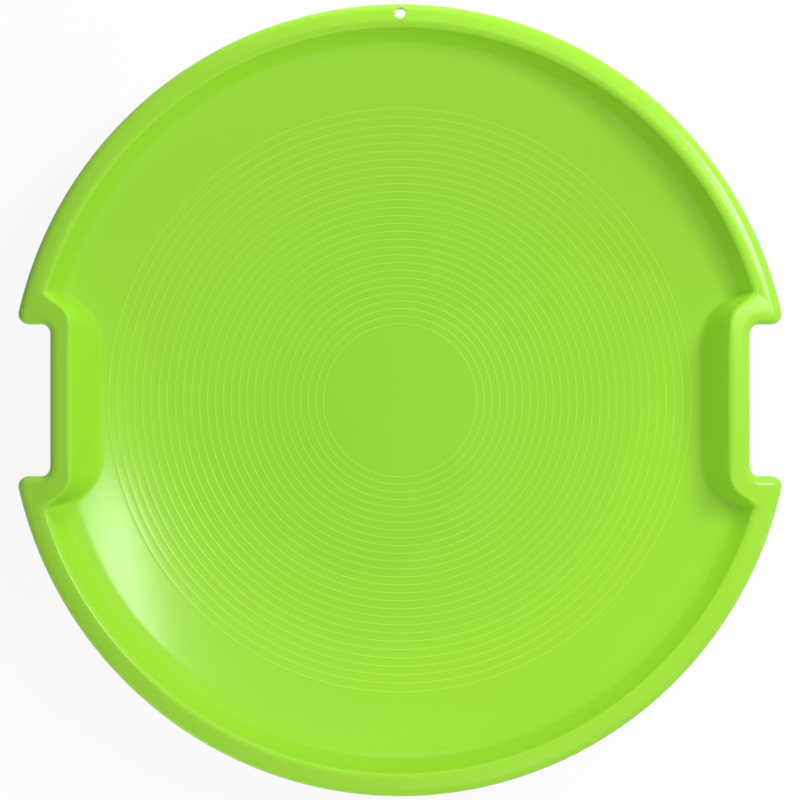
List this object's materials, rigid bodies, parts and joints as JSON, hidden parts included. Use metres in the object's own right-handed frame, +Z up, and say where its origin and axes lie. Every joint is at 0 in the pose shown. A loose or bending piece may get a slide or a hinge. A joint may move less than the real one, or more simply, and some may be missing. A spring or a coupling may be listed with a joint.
{
  "type": "saucer sled",
  "caption": "Round plastic saucer sled: shallow dish with a ringed floor, curved wall, flat rim turned down at its edge, hand grip notches at opposite sides and a tow hole.",
  "frame": {"origin": "centre of the flat base, on the ground", "axes": "+Z up along the dish's axis, +Y from the axis to the tow hole, the hand grips on the X axis"},
  "size_m": [0.6434, 0.6598, 0.088],
  "materials": {
    "lime_plastic": "semi-gloss moulded polyethylene, dyed lime green"
  },
  "bodies": {
    "root": {"saucer_shell": "lime_plastic"}
  },
  "joints": []
}
